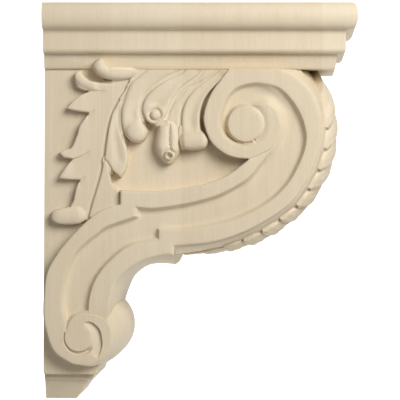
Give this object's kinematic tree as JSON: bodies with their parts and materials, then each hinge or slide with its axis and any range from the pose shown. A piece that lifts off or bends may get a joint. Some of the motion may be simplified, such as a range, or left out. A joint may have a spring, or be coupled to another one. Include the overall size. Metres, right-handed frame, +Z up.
{
  "type": "wooden corbel bracket",
  "caption": "Carved wooden corbel: moulded crown over an S-scroll body with volutes, side foliage, a leaf on the belly and a tapered foot.",
  "frame": {"origin": "middle of the flat back face, where the corbel meets the wall", "axes": "+Z up, +X out from the wall along the projection, Y across the width, with the part symmetric about Y = 0"},
  "size_m": [0.2794, 0.165, 0.3556],
  "materials": {
    "carved_wood": "carved and sanded, unfinished"
  },
  "bodies": {
    "root": {"corbel": "carved_wood"}
  },
  "joints": []
}
